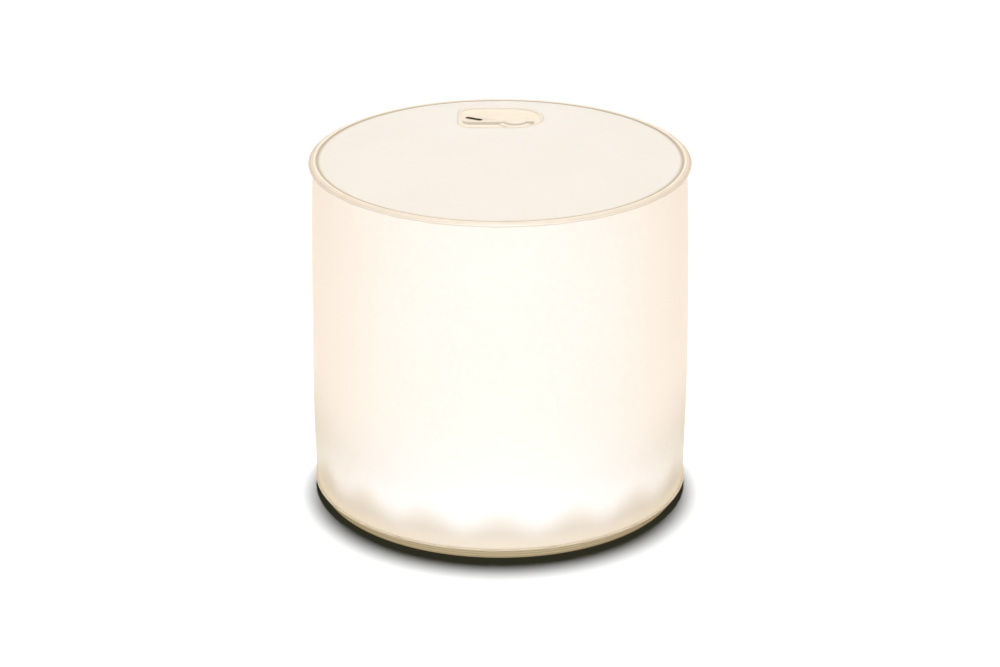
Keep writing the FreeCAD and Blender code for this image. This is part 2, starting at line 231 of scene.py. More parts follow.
def frosted_bump(tree, where, strength=0.12):
    fine = noise(tree, where, 0.00045, 2.0)
    broad = noise(tree, where, 0.006, 3.0)
    total = maths(tree, "ADD", fine, maths(tree, "MULTIPLY", broad, 1.5))
    return bumped(tree, total, strength, 0.0002)


def lamp_scallops(tree, x, y):
    """Mask for the painted arches of lamp light on the wall: 1 in front of each lamp in the foot and 0 midway
    between two.
    """
    angle = maths(tree, "ARCTAN2", x, maths(tree, "MULTIPLY", y, -1.0))
    wave = maths(tree, "COSINE", maths(tree, "MULTIPLY", angle, float(lamp_count)))
    return maths(tree, "MULTIPLY_ADD", wave, -0.5, 0.5)


# Painted light: these place the sixteen arches of lamp light painted on the wall film and how high their warm
# flare reaches.
housing_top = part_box("base_cover")[1].z
arch_foot = housing_top + 0.0010
arch_drop = 0.0042
soft_below = 0.0050
soft_above = 0.0075
flare_top = 0.034

# Painted light and shade: the wall film's glow stands in for the lamps' light through it, and its colour and
# glow are painted by height and in sixteen arches.
wall_finish, tree, where = new_finish("frosted_wall_film")
apart = add(tree, "ShaderNodeSeparateXYZ", {"Vector": where}).outputs
cloud = noise(tree, where, 0.03, 3.0)
fibre = noise(tree, where, 0.0022, 3.0, 0.6)
upper = ramp(tree, apart["Z"], 0.018, 0.052)
colour = blend_colour(tree, cloud, (0.445, 0.395, 0.34, 1), (0.475, 0.43, 0.375, 1))
colour = blend_colour(tree, upper, (0.80, 0.71, 0.625, 1), colour)
colour = blend_colour(tree, ramp(tree, fibre, 0.35, 0.75, 0.0, 0.15), colour, (0.62, 0.57, 0.50, 1))
# Painted light: lit is 1 inside the arches of lamp light and 0 below them; flare blends the glow to a warm
# tone from the housing top up to 34 mm.
scallop = lamp_scallops(tree, apart["X"], apart["Y"])
edge = maths(tree, "MULTIPLY_ADD", scallop, -arch_drop, arch_foot)
above = maths(tree, "SUBTRACT", apart["Z"], edge)
lit = ramp(tree, above, -soft_below, soft_above)
fade = ramp(tree, apart["Z"], housing_top, flare_top, 1.0, 0.0)
flare = maths(tree, "MULTIPLY", lit, fade)
# Painted glow: below the arches it is brightest at the foot weld and dimmer 6 mm above it; in the arches it
# is dim low down and bright high up.
foot_shade = ramp(tree, apart["Z"], foot_weld_top, foot_weld_top + 0.006, 0.0, 1.0)
lit_glow = blend_colour(tree, upper, (0.16, 0.10, 0.0, 1), (0.53, 0.425, 0.315, 1))
glow = blend_colour(tree, foot_shade, (0.35, 0.27, 0.13, 1), (0.20, 0.145, 0.06, 1))
glow = blend_colour(tree, lit, glow, lit_glow)
glow = blend_colour(tree, flare, glow, (0.23, 0.18, 0.09, 1))
# Painted shade: under the arches the film's colour is darker, for the housing's shade on it.
colour = blend_colour(tree, lit, (0.605, 0.505, 0.40, 1), colour)
rough = ramp(tree, fibre, 0.3, 0.7, 0.40, 0.52)
film_shader(tree, colour, rough, frosted_bump(tree, where), glow)
side_wall.data.materials.append(wall_finish)
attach(side_wall, "base")
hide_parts("wall_film")
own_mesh(side_wall)


# ---- lap weld of the wall ----
# The two ends of the wall's sheet overlap at the back and are heat sealed in one upright strip.
# The sealing bar leaves a band of fine ribs and slightly rounded edges.

seam_low, seam_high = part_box("wall_seam")
seam_half_angle = math.asin(seam_high.x / rim_radius)
seam_thickness = 0.0003
seam_steps = 10


def seam_unevenness(angle, radius, height):
    out, up = wall_unevenness(angle, radius, height)
    side = abs(angle - math.pi) / seam_half_angle
    thin = seam_thickness * 0.75 * max(0.0, side - 0.7) / 0.3
    raised = radius > wall_radius(height) + seam_thickness / 2
    return out - (thin if raised else 0.0), up


seam_levels = np.linspace(seam_low.z, seam_high.z, 60)
seam_section = [(wall_radius(z) - 0.00002, z) for z in seam_levels]
seam_section += [(wall_radius(z) + seam_thickness, z) for z in reversed(seam_levels)]
side_seam = revolve("side_seam", seam_section, seam_steps, seam_unevenness,
                    math.pi - seam_half_angle, 2 * seam_half_angle)

seam_finish, tree, where = new_finish("ribbed_lap_weld")
apart = add(tree, "ShaderNodeSeparateXYZ", {"Vector": where}).outputs
cloud = noise(tree, where, 0.004, 3.0)
colour = blend_colour(tree, cloud, (0.43, 0.38, 0.32, 1), (0.50, 0.45, 0.39, 1))
ribs = maths(tree, "SINE", maths(tree, "MULTIPLY", apart["Z"], 2 * math.pi / 0.0011))
ribs = maths(tree, "MULTIPLY_ADD", ribs, 0.5, 0.5)
bump = bumped(tree, ribs, 0.35, 0.0002)
# Painted glow, dimmer low on the wall and brighter higher up, to match the wall film's painted light.
glow = blend_colour(tree, ramp(tree, apart["Z"], 0.01, 0.05), (0.24, 0.18, 0.09, 1), (0.53, 0.425, 0.315, 1))
film_shader(tree, colour, ramp(tree, cloud, 0.3, 0.7, 0.28, 0.40), bump, glow)
side_seam.data.materials.append(seam_finish)
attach(side_seam, "base")
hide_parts("wall_seam")
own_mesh(side_seam)


# ---- top disc ----
# A round sheet of the same frosted film, domed a little by the air inside.
# It is sealed to the wall in the rim, and an oblong hole near the back takes the air valve's plate.

top_low, top_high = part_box("top_film")
fold_radius = top_high.x
disc_edge_top = top_low.z + film
crown = top_high.z - disc_edge_top
crease_depth = 0.00022
crease_width = 0.0011


def dome(radius):
    return disc_edge_top + crown * (1.0 - (radius / fold_radius) ** 2)


def disc_unevenness(angle, radius, height):
    from_fold = fold_radius - radius
    pucker = pucker_depth * 0.7 * wrinkle(angle, 3.1) * math.exp(-from_fold / 0.007)
    settle = 1.0 - math.exp(-from_fold / 0.0015)
    crease = -crease_depth * math.exp(-(from_fold / crease_width) ** 2)
    sway = 0.00008 * math.sin(2 * angle + 1.0) * (radius / fold_radius) ** 2 * settle
    return 0.0, pucker * settle + crease + sway


disc_radii = list(np.linspace(0.0, fold_radius * 0.86, 40))
disc_radii += list(fold_radius * 0.86 + fold_radius * 0.14 * np.linspace(0.03, 1.0, 34) ** 0.8)
disc_section = [(r, dome(r)) for r in disc_radii] + [(r, dome(r) - film) for r in reversed(disc_radii)]
top_disc = revolve("top_disc", disc_section, 320, disc_unevenness)


def lie_on_disc(point):
    """Lays a point given about the valve plate's middle on the slope of the disc."""
    x, y, z = point
    turned_y = y * math.cos(valve_tilt) + z * math.sin(valve_tilt)
    turned_z = z * math.cos(valve_tilt) - y * math.sin(valve_tilt)
    return valve_x + x, valve_y + turned_y, valve_seat + turned_z


def plate_outline(inset, corner_steps=10):
    """Oblong with squarer corners at the left and rounder ones at the right, as points (x, y)."""
    half_x = plate_length / 2 - inset
    half_y = plate_width / 2 - inset
    left = max(plate_left_corner - inset / 2, 0.0008)
    right = max(plate_right_corner - inset, 0.0008)
    outline = []
    for sx, sy, corner, first in ((1, -1, right, -90), (1, 1, right, 0),
                                  (-1, 1, left, 90), (-1, -1, left, 180)):
        for i in range(corner_steps + 1):
            turn = math.radians(first + 90.0 * i / corner_steps)
            x = sx * (half_x - corner) + corner * math.cos(turn)
            outline.append((x, sy * (half_y - corner) + corner * math.sin(turn)))
    return outline


def circle_outline(centre_x, centre_y, radius, steps=48):
    turns = [2 * math.pi * i / steps for i in range(steps)]
    return [(centre_x + radius * math.cos(t), centre_y + radius * math.sin(t)) for t in turns]


def stacked(name, rings, crease=35.0):
    """Joins outlines of the same count, each with its own height, and closes both ends."""
    n = len(rings[0][0])
    points = [lie_on_disc((x, y, height)) for outline, height in rings for x, y in outline]
    faces = []
    for i in range(len(rings) - 1):
        for j in range(n):
            k = (j + 1) % n
            faces.append((i * n + j, i * n + k, (i + 1) * n + k, (i + 1) * n + j))
    faces.append(tuple(range(n)))
    faces.append(tuple(range(len(rings) * n - 1, (len(rings) - 1) * n - 1, -1)))
    return mesh_piece(name, points, faces, crease)


def cut(piece, cutter):
    """Cuts a shape out of a piece for good and removes the shape."""
    knife = piece.modifiers.new("cut", "BOOLEAN")
    knife.operation = "DIFFERENCE"
    knife.object = cutter
    knife.solver = "EXACT"
    seen = bpy.context.evaluated_depsgraph_get()
    mesh = bpy.data.meshes.new_from_object(piece.evaluated_get(seen))
    piece.modifiers.clear()
    piece.data = mesh
    bpy.data.objects.remove(cutter)


plate_length = 0.0283
plate_width = 0.0240
plate_edge_gap = 0.0099
plate_left_corner = 0.0055
plate_right_corner = 0.0104
valve_x = 0.0002
valve_y = fold_radius - plate_edge_gap - plate_width / 2
valve_tilt = math.atan(2 * crown * valve_y / fold_radius ** 2)
valve_seat = dome(math.hypot(valve_x, valve_y))
cut(top_disc, stacked("hole", [(plate_outline(0.0), -0.006), (plate_outline(0.0), 0.006)]))


def from_middle(tree, apart):
    """Distance from the lantern's upright axis."""
    squares = [maths(tree, "POWER", apart[side], 2.0) for side in ("X", "Y")]
    return maths(tree, "SQRT", maths(tree, "ADD", *squares))


disc_finish, tree, where = new_finish("frosted_top_film")
apart = add(tree, "ShaderNodeSeparateXYZ", {"Vector": where}).outputs
cloud = noise(tree, where, 0.028, 3.0)
fibre = noise(tree, where, 0.0022, 3.0, 0.6)
radius = from_middle(tree, apart)
colour = blend_colour(tree, cloud, (0.585, 0.512, 0.418, 1), (0.61, 0.54, 0.446, 1))
colour = blend_colour(tree, ramp(tree, fibre, 0.35, 0.75, 0.0, 0.25), colour, (0.63, 0.565, 0.475, 1))
# Painted shade: a thin ring just inside the fold is darkened in colour and its glow dimmed.
painted_crease_shade = ramp(tree, radius, fold_radius - 0.0014, fold_radius - 0.0004)
colour = blend_colour(tree, painted_crease_shade, colour, (0.41, 0.33, 0.225, 1))
glow = blend_colour(tree, painted_crease_shade, (0.02, 0.016, 0.010, 1), (0.01, 0.008, 0.004, 1))
film_shader(tree, colour, ramp(tree, fibre, 0.3, 0.7, 0.36, 0.48), frosted_bump(tree, where), glow)
top_disc.data.materials.clear()
top_disc.data.materials.append(disc_finish)
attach(top_disc, "top")
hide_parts("top_film")


# ---- welded rims ----
# Wall and disc, and wall and dish, are sealed edge to edge in a flat rim that stands out all round.
# The sealing ring presses fine cross ribs into the film and squeezes out a thin edge; the brightness along
# the top of each rim is a painted glow.

def rim_unevenness(seed, depth):
    def uneven(angle, radius, height):
        outward = (radius - fold_radius) / (rim_radius - fold_radius)
        wave = wrinkle(angle, seed)
        return 0.0, depth * wave * max(0.0, outward) ** 1.5
    return uneven


rim_low, rim_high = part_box("top_weld_ring")
foot_rim_low, foot_rim_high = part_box("bottom_weld_ring")
under = head_weld_under
over = rim_high.z
tip = rim_low.z
width = rim_radius - fold_radius
top_rim_section = [
    (fold_radius, under + 0.00002), (fold_radius, over - 0.00028),
    (fold_radius + 0.10 * width, over - 0.00012),
    (fold_radius + 0.22 * width, over - 0.00004), (fold_radius + 0.40 * width, over - 0.00012),
    (fold_radius + 0.60 * width, over - 0.00030), (fold_radius + 0.80 * width, over - 0.00052),
    (fold_radius + 0.93 * width, over - 0.00070), (rim_radius - 0.00004, over - 0.00084),
    (rim_radius, over - 0.00096), (rim_radius - 0.00006, tip + 0.00008),
    (rim_radius - 0.00030, tip + 0.00002),
    (fold_radius + 0.68 * width, under - 0.00002), (fold_radius + 0.5 * width, under)]
top_rim = revolve("top_rim", top_rim_section, 360, rim_unevenness(4.4, 0.00012))

foot_under = foot_rim_low.z
foot_over = foot_rim_high.z
foot_rim_section = [
    (fold_radius, foot_under), (fold_radius + 0.5 * width, foot_under),
    (rim_radius - 0.00035, foot_under + 0.00004),
    (rim_radius - 0.00010, foot_under + 0.00014), (rim_radius, foot_under + 0.00030),
    (rim_radius - 0.00008, foot_over - 0.00012),
    (rim_radius - 0.00028, foot_over - 0.00002), (fold_radius + 0.66 * width, foot_over + 0.00002),
    (fold_radius + 0.5 * width, foot_over), (fold_radius, foot_over)]
foot_rim = revolve("foot_rim", foot_rim_section, 360, rim_unevenness(1.7, 0.00014))

for piece, body, node, light, dark, top_glow, under_glow in (
        (top_rim, "top", "top_weld_ring", (0.54, 0.465, 0.375), (0.49, 0.415, 0.325), (0.25, 0.21, 0.155),
         (0.13, 0.085, 0.03)),
        (foot_rim, "base", "bottom_weld_ring", (0.62, 0.475, 0.32), (0.54, 0.40, 0.25), (0.50, 0.41, 0.28),
         (0.13, 0.085, 0.03))):
    rim_finish, tree, where = new_finish("ribbed_weld_" + piece.name)
    apart = add(tree, "ShaderNodeSeparateXYZ", {"Vector": where}).outputs
    cloud = noise(tree, where, 0.005, 3.0)
    angle = maths(tree, "ARCTAN2", apart["X"], apart["Y"])
    ribs = maths(tree, "SINE", maths(tree, "MULTIPLY", angle, 420.0))
    ribs = maths(tree, "MULTIPLY_ADD", ribs, 0.5, 0.5)
    strand = noise(tree, where, 0.0007, 2.0)
    colour = blend_colour(tree, cloud, (*dark, 1), (*light, 1))
    colour = blend_colour(tree, maths(tree, "MULTIPLY", ribs, 0.15), colour, (*[c * 1.15 for c in light], 1))
    across = from_middle(tree, apart)
    # Painted shade: fine concentric lines across the rim are darkened in colour only, for the shade in
    # grooves the mesh does not have.
    groove = maths(tree, "SINE", maths(tree, "MULTIPLY", across, 2 * math.pi / 0.0009))
    colour = blend_colour(tree, ramp(tree, groove, 0.0, 1.0, 0.0, 0.35), colour,
                          (*[c * 0.5 for c in dark], 1))
    total = maths(tree, "ADD", maths(tree, "MULTIPLY", ribs, 0.6), strand)
    bump = bumped(tree, total, 0.2, 0.0002)
    # Painted light: the top 0.3 mm of each rim glows brighter than the rest of it.
    rim_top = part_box(node)[1].z
    ridge = ramp(tree, apart["Z"], rim_top - 0.0003, rim_top)
    glow = blend_colour(tree, ridge, (*under_glow, 1), (*top_glow, 1))
    film_shader(tree, colour, ramp(tree, cloud, 0.3, 0.7, 0.34, 0.48), bump, glow)
    piece.data.materials.append(rim_finish)
    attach(piece, body)
    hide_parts(node)


# ---- clear dish ----
# A shallow dish of clear film under the foot, sealed to the bottom rim and stuck to the housing.
# It lets sunlight through to the solar panel and lets the buttons be pressed through it.

dish_low, dish_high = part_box("base_window_film")
dish_outer = fold_radius + film
dish_round = 0.0012
dish_section = [(0.0, dish_low.z)]
for share in np.linspace(0.15, 0.97, 12):
    dish_section.append((dish_outer * share, dish_low.z))
for i in range(9):
    turn = math.radians(90.0 * i / 8)
    dish_section.append((dish_outer - dish_round + dish_round * math.sin(turn),
                         dish_low.z + dish_round - dish_round * math.cos(turn)))
dish_section += [(dish_outer, dish_high.z), (dish_outer - film, dish_high.z)]
for i in range(9):
    turn = math.radians(90.0 - 90.0 * i / 8)
    inner_round = dish_round - film
    dish_section.append((dish_outer - dish_round + inner_round * math.sin(turn),
                         dish_low.z + dish_round - inner_round * math.cos(turn)))
for share in np.linspace(0.97, 0.15, 12):
    dish_section.append((dish_outer * share, dish_low.z + film))
dish_section.append((0.0, dish_low.z + film))


def dish_unevenness(angle, radius, height):
    side = min(1.0, max(0.0, (height - 0.0012) / 0.001)) * min(1.0, (dish_high.z - height) / 0.0008)
    return 0.00010 * wrinkle(angle, 5.2) * max(0.0, side), 0.0


clear_dish = revolve("clear_dish", dish_section, 320, dish_unevenness)

dish_finish, tree, where = new_finish("clear_dish_film")
smear = noise(tree, where, 0.012, 4.0)
bump = bumped(tree, smear, 0.08, 0.0005)
tint = blend_colour(tree, smear, (0.93, 0.92, 0.88, 1), (0.98, 0.98, 0.96, 1))
clear = add(tree, "ShaderNodeBsdfPrincipled", {
    "Base Color": tint, "Roughness": ramp(tree, smear, 0.3, 0.7, 0.05, 0.16), "IOR": 1.47,
    "Transmission Weight": 1.0, "Normal": bump})
shadow = add(tree, "ShaderNodeLightPath").outputs["Is Shadow Ray"]
through = add(tree, "ShaderNodeBsdfTransparent", {"Color": (0.92, 0.91, 0.88, 1)})
both = add(tree, "ShaderNodeMixShader", {0: shadow, 1: clear.outputs[0], 2: through.outputs[0]})
add(tree, "ShaderNodeOutputMaterial", {"Surface": both.outputs[0]})
clear_dish.data.materials.append(dish_finish)

# Painted shade: the side of the clear dish is an opaque brown film standing in for the shaded band under the
# foot rim, and it has a painted glow.
side_finish, tree, where = new_finish("painted_shade_dish_side")
apart = add(tree, "ShaderNodeSeparateXYZ", {"Vector": where}).outputs
cloud = noise(tree, where, 0.004, 3.0)
# Painted shade: the fold lines are bumped and also darkened in colour.
fold_lines = maths(tree, "SINE", maths(tree, "MULTIPLY", apart["Z"], 2 * math.pi / 0.0008))
colour = blend_colour(tree, cloud, (0.47, 0.33, 0.16, 1), (0.55, 0.395, 0.205, 1))
colour = blend_colour(tree, ramp(tree, fold_lines, -0.2, 1.0, 0.0, 0.55), colour, (0.25, 0.185, 0.095, 1))
# Painted shade: the side darkens towards its top, under the rim's overhang.
colour = blend_colour(tree, ramp(tree, apart["Z"], 0.0026, 0.0032, 0.0, 0.9), colour, (0.16, 0.11, 0.05, 1))
bump = bumped(tree, fold_lines, 0.3, 0.0002)
glow = blend_colour(tree, ramp(tree, apart["Z"], 0.0002, 0.0030),
                    (0.17, 0.12, 0.055, 1), (0.12, 0.09, 0.045, 1))
film_shader(tree, colour, ramp(tree, cloud, 0.3, 0.7, 0.30, 0.45), bump, glow)
clear_dish.data.materials.append(side_finish)
for face in clear_dish.data.polygons:
    if math.hypot(face.center.x, face.center.y) > dish_outer - 0.9 * dish_round:
        face.material_index = 1
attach(clear_dish, "base")
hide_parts("base_window_film")


# ---- valve plate ----
# An oblong plate of soft clear plastic, moulded with a raised bead round a shallow pocket.
# It is welded into the top disc, and a short boss under it guides the pull-up stem.

def looped(name, rings, crease=35.0):
    """Joins outlines into a closed loop, last to first, as for a bushing."""
    n = len(rings[0][0])
    points = [lie_on_disc((x, y, height)) for outline, height in rings for x, y in outline]
    faces = []
    for i in range(len(rings)):
        a = i * n
        b = ((i + 1) % len(rings)) * n
        for j in range(n):
            k = (j + 1) % n
            faces.append((a + j, a + k, b + k, b + j))
    return mesh_piece(name, points, faces, crease)


def joined(name, *parts):
    """Puts several meshes into one piece."""
    work = bmesh.new()
    for part in parts:
        work.from_mesh(part.data)
        bpy.data.objects.remove(part)
    mesh = bpy.data.meshes.new(name)
    work.to_mesh(mesh)
    work.free()
    piece = bpy.data.objects.new(name, mesh)
    bpy.context.scene.collection.objects.link(piece)
    return piece


pocket = -0.0005
plate_under = -0.0012
boss_under = -0.0025
stem_x = 0.0048
stem_y = -0.0054
stem_radius = 0.0042
boss_radius = 0.0056
plate = stacked("plate", [
    (plate_outline(0.00002), plate_under), (plate_outline(0.00002), -0.00010),
    (plate_outline(0.00010), 0.00003),
    (plate_outline(0.00030), 0.00010), (plate_outline(0.00055), 0.00010), (plate_outline(0.00078), 0.00002),
    (plate_outline(0.00090), -0.00012), (plate_outline(0.00095), -0.00038), (plate_outline(0.00120), pocket),
    (plate_outline(0.00200), pocket - 0.00004), (plate_outline(0.00215), pocket - 0.00001),
    (plate_outline(0.00240), pocket)])
boss = looped("boss", [
    (circle_outline(stem_x, stem_y, boss_radius), plate_under),
    (circle_outline(stem_x, stem_y, boss_radius), -0.0024),
    (circle_outline(stem_x, stem_y, boss_radius - 0.0002), boss_under),
    (circle_outline(stem_x, stem_y, stem_radius + 0.0003), boss_under),
    (circle_outline(stem_x, stem_y, stem_radius + 0.00008), -0.0023),
    (circle_outline(stem_x, stem_y, stem_radius + 0.00008), plate_under)])
valve_plate = joined("valve_plate", plate, boss)

valve_finish, tree, where = new_finish("soft_clear_valve")
cloud = noise(tree, where, 0.003, 3.0)
fine = noise(tree, where, 0.0004, 2.0)
colour = blend_colour(tree, cloud, (0.48, 0.42, 0.35, 1), (0.535, 0.478, 0.405, 1))
bump = bumped(tree, fine, 0.10, 0.0002)
# Painted glow: the plate, stem, cap and flap glow as if lit from inside the lantern.
glow = blend_colour(tree, cloud, (0.34, 0.295, 0.23, 1), (0.38, 0.335, 0.265, 1))
film_shader(tree, colour, ramp(tree, cloud, 0.3, 0.7, 0.40, 0.54), bump, glow)
valve_plate.data.materials.append(valve_finish)
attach(valve_plate, "top")
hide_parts("valve_flange")


# ---- pull-up stem ----
# A soft tube with a wide lip, pulled up to blow the lantern up and pushed down flush to pack it.
# A collar at its lower end stops it in the boss, and a small ear carries the root of the cap's strap.

lip_radius = 0.0054
bore_radius = 0.0025
collar_radius = 0.0052
collar_top = boss_under - 0.005
stem_under = collar_top - 0.0008


def stem_ring(radius, height):
    return circle_outline(stem_x, stem_y, radius, 64), height


stem_tube = looped("stem_tube", [
    stem_ring(collar_radius - 0.0002, stem_under), stem_ring(collar_radius, stem_under + 0.0002),
    stem_ring(collar_radius, collar_top - 0.0001), stem_ring(collar_radius - 0.0001, collar_top),
    stem_ring(stem_radius + 0.0001, collar_top), stem_ring(stem_radius, collar_top + 0.0001),
    stem_ring(stem_radius, pocket - 0.0001), stem_ring(stem_radius + 0.0001, pocket),
    stem_ring(lip_radius - 0.0001, pocket), stem_ring(lip_radius, pocket + 0.0001),
    stem_ring(lip_radius, pocket + 0.0003), stem_ring(lip_radius - 0.0002, pocket + 0.00046),
    stem_ring(lip_radius - 0.0006, pocket + 0.0005), stem_ring(lip_radius - 0.0014, pocket + 0.0005),
    stem_ring(lip_radius - 0.0016, pocket + 0.00038), stem_ring(lip_radius - 0.0019, pocket + 0.00038),
    stem_ring(lip_radius - 0.0021, pocket + 0.0005), stem_ring(bore_radius + 0.0002, pocket + 0.0005),
    stem_ring(bore_radius, pocket + 0.0003), stem_ring(bore_radius, stem_under + 0.0002),
    stem_ring(bore_radius + 0.0002, stem_under)])


def pad_outline(low_x, high_x, half_width, left_corner, right_corner, middle_y, inset, corner_steps=8):
    """Rounded strip along X."""
    outline = []
    middle = (low_x + high_x) / 2
    half = (high_x - low_x) / 2 - inset
    wide = half_width - inset
    for sx, sy, corner, first in ((1, -1, right_corner, -90), (1, 1, right_corner, 0),
                                  (-1, 1, left_corner, 90), (-1, -1, left_corner, 180)):
        corner = max(corner - inset, 0.00005)
        for i in range(corner_steps + 1):
            turn = math.radians(first + 90.0 * i / corner_steps)
            x = middle + sx * (half - corner) + corner * math.cos(turn)
            outline.append((x, middle_y + sy * (wide - corner) + corner * math.sin(turn)))
    return outline


def pad(name, low_x, high_x, half_width, low, high, left_corner, right_corner, middle_y, edge=0.00012):
    shape = (low_x, high_x, half_width, left_corner, right_corner, middle_y)
    return stacked(name, [
        (pad_outline(*shape, edge), low), (pad_outline(*shape, 0.0), low + edge),
        (pad_outline(*shape, 0.0), high - edge),
        (pad_outline(*shape, edge * 0.3), high - edge * 0.3), (pad_outline(*shape, edge), high)])


hinge_x = stem_x + lip_radius + 0.0004
hinge_height = 0.00075
ear = pad("ear", stem_x + lip_radius - 0.0008, hinge_x + 0.0006, 0.0016, pocket, 0.0, 0.0003, 0.0006, stem_y)
strap_root = pad("strap_root", hinge_x, hinge_x + 0.0006, 0.0015, -0.0001, hinge_height, 0.0001, 0.0003,
                 stem_y)
pull_stem = joined("pull_stem", stem_tube, ear, strap_root)
pull_stem.data.materials.append(valve_finish)
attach(pull_stem, "stem")
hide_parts("valve_stem")


# ---- valve cap ----
# One soft moulding: a domed cap with a tapered plug, a thin strap to the stem's ear and a long pull tab.
# The strap is the hinge. A dark bar fills a recess at the tab's end; it is painted shade standing in for the
# shade inside the slot.

cap_radius = 0.00385
plug_tip = 0.0015
plug_depth = 0.0026


def cap_ring(radius, height):
    return circle_outline(stem_x, stem_y, radius, 56), height


cap_disc = stacked("cap_disc", [
    cap_ring(plug_tip - 0.0003, -plug_depth), cap_ring(plug_tip, -plug_depth + 0.0002),
    cap_ring(bore_radius - 0.00012, -0.0004), cap_ring(bore_radius - 0.00006, 0.0),
    cap_ring(cap_radius - 0.0001, 0.00002), cap_ring(cap_radius, 0.00015), cap_ring(cap_radius, 0.00050),
    cap_ring(cap_radius - 0.00008, 0.00064), cap_ring(cap_radius - 0.0003, 0.00076),
    cap_ring(cap_radius - 0.0007, 0.0008), cap_ring(cap_radius - 0.0012, 0.00078),
    cap_ring(cap_radius - 0.00145, 0.00066), cap_ring(cap_radius - 0.0018, 0.00062),
    cap_ring(0.0012, 0.00066),
    cap_ring(0.0006, 0.00068), cap_ring(0.0002, 0.00069)])
strap = pad("strap", stem_x + cap_radius - 0.0006, hinge_x, 0.0015, 0.00025, hinge_height, 0.0003,
            0.00008, stem_y)
tab_low_x = -0.01275
tab_y = stem_y + 0.0028
pull_tab = pad("pull_tab", tab_low_x, stem_x - 0.0012, 0.0042, pocket + 0.00006, 0.00055, 0.0029, 0.0029,
               tab_y)
slit_x = tab_low_x + 0.00385
slit_y = tab_y - 0.0006
slit_turn = math.radians(-32.0)


def slit_outline(half_length, half_width):
    outline = []
    for x, y in circle_outline(0.0, 0.0, half_width, 20):
        x += math.copysign(half_length - half_width, x)
        outline.append((slit_x + x * math.cos(slit_turn) - y * math.sin(slit_turn),
                        slit_y + x * math.sin(slit_turn) + y * math.cos(slit_turn)))
    return outline


slot_edge = slit_outline(0.0033, 0.0011)
cut(pull_tab, stacked("slot", [(slot_edge, 0.00002), (slot_edge, 0.002)]))
cap_piece = joined("cap_with_tab", cap_disc, strap, pull_tab)
cap_piece.data.materials.clear()
cap_piece.data.materials.append(valve_finish)
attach(cap_piece, "cap")
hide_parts("valve_cap")

# Painted shade: this dark bar fills the slot's recess and stands in for the shade inside it.
slot_shade_bar = stacked("slot_shade_bar", [
    (slit_outline(0.00315, 0.00095), 0.00003), (slit_outline(0.00322, 0.00102), 0.00010),
    (slit_outline(0.00322, 0.00102), 0.00048), (slit_outline(0.00310, 0.00090), 0.00055)])
bar_finish, tree, where = new_finish("dark_tab_bar")
cloud = noise(tree, where, 0.001, 3.0)
colour = blend_colour(tree, cloud, (0.026, 0.017, 0.006, 1), (0.055, 0.038, 0.018, 1))
bump = bumped(tree, cloud, 0.15, 0.0001)
sockets = {"Base Color": colour, "Roughness": ramp(tree, cloud, 0.3, 0.7, 0.6, 0.8), "Normal": bump,
           "Specular IOR Level": 0.1}
surface(tree, sockets)
slot_shade_bar.data.materials.append(bar_finish)
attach(slot_shade_bar, "cap")


# ---- check flap ----
# A thin soft disc on the stem's lower end. It opens as air is blown in and the air inside shuts it.
# It is punched from sheet, and it dishes a little where the air presses it to its seat.

flap_radius = bore_radius + 0.0009
flap_under = stem_under - 0.0004


def flap_ring(radius, height):
    return circle_outline(stem_x, stem_y, radius, 40), height


flap_disc = stacked("flap_disc", [
    flap_ring(0.0003, flap_under + 0.00004), flap_ring(bore_radius * 0.6, flap_under + 0.00002),
    flap_ring(flap_radius - 0.0003, flap_under), flap_ring(flap_radius - 0.00006, flap_under + 0.00003),
    flap_ring(flap_radius, flap_under + 0.00012), flap_ring(flap_radius, stem_under - 0.00014),
    flap_ring(flap_radius - 0.00008, stem_under - 0.00004), flap_ring(bore_radius, stem_under - 0.00002),
    flap_ring(bore_radius * 0.6, stem_under - 0.00001), flap_ring(0.0003, stem_under - 0.00001)])
flap_disc.data.materials.append(valve_finish)
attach(flap_disc, "flap")
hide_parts("check_flap")


# ---- housing tray ----
# The lower half of the electronics housing, moulded in warm white plastic with a fine satin grain.
# It has a round window for the solar panel, holes for two buttons and three light pipes, and a wall.

def grained(name, light, dark, size, rough, bump=0.15, **more):
    """Two close tones in soft clouds, uneven gloss, and a grain a good deal finer than the clouds."""
    finish, tree, where = new_finish(name)
    cloud = noise(tree, where, size, 4.0)
    grain = noise(tree, where, size / 14.0, 2.0)
    colour = blend_colour(tree, ramp(tree, cloud, 0.3, 0.7), (*light, 1), (*dark, 1))
    normal = bumped(tree, grain, bump, 0.0001)
    sockets = {"Base Color": colour, "Roughness": ramp(tree, grain, 0.3, 0.7, rough - 0.06, rough + 0.06),
               "Normal": normal}
    for key, value in more.items():
        sockets[key.replace("_", " ")] = value
    surface(tree, sockets)
    return finish


def dress(finish, *nodes):
    """Gives CAD solids their finish."""
    for node in nodes:
        for place in frame["nodes"][node].material_slots:
            place.material = finish


housing_finish = grained("satin_white_housing", (0.80, 0.775, 0.72), (0.74, 0.71, 0.65), 0.010, 0.42)
dress(housing_finish, "base_tray")


# ---- solar panel ----
# Six strips of dark silicon under a clear poured glaze, facing down, in series by two tinned ribbons.
# Each strip has fine silver fingers printed across it, and a woven laminate backs them.

